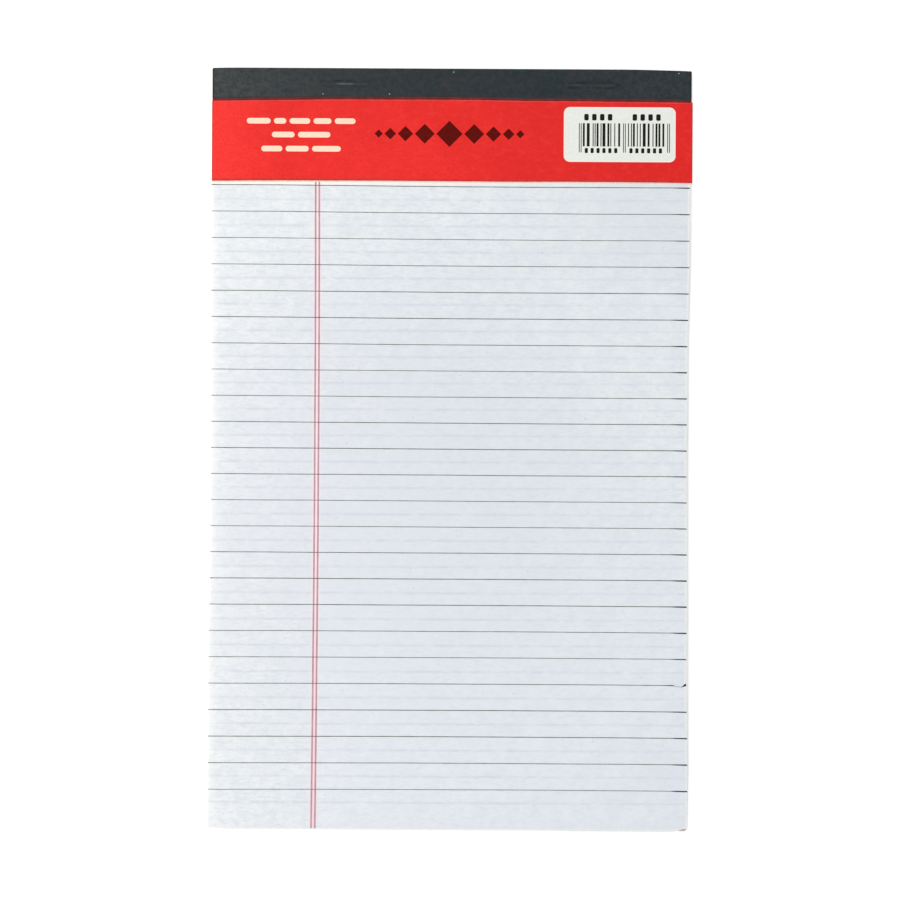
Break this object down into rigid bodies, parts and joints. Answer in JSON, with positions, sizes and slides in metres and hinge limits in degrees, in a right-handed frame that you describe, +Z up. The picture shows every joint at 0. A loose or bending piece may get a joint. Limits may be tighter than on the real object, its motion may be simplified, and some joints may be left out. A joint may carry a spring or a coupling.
{
  "type": "writing pad",
  "caption": "Top-bound ruled writing pad: white sheets with rules and a double margin line, red header card, charcoal tape folded over the stapled head, stiff backing board.",
  "frame": {"origin": "middle of the footprint, on the surface that the pad lies on", "axes": "+X across the pad's width, to the right of a reader; +Y towards the bound head; +Z up, out of the front"},
  "size_m": [0.128, 0.203, 0.0046],
  "materials": {
    "greyboard": "matte",
    "ruled_paper": "matte",
    "red_card": "satin",
    "charcoal_tape": "matte",
    "staple_wire": "satin"
  },
  "bodies": {
    "root": {"backing_board": "greyboard", "sheet_block": "ruled_paper", "header_strip": "red_card", "binding_tape": "charcoal_tape", "staple_left": "staple_wire", "staple_right": "staple_wire"}
  },
  "joints": []
}
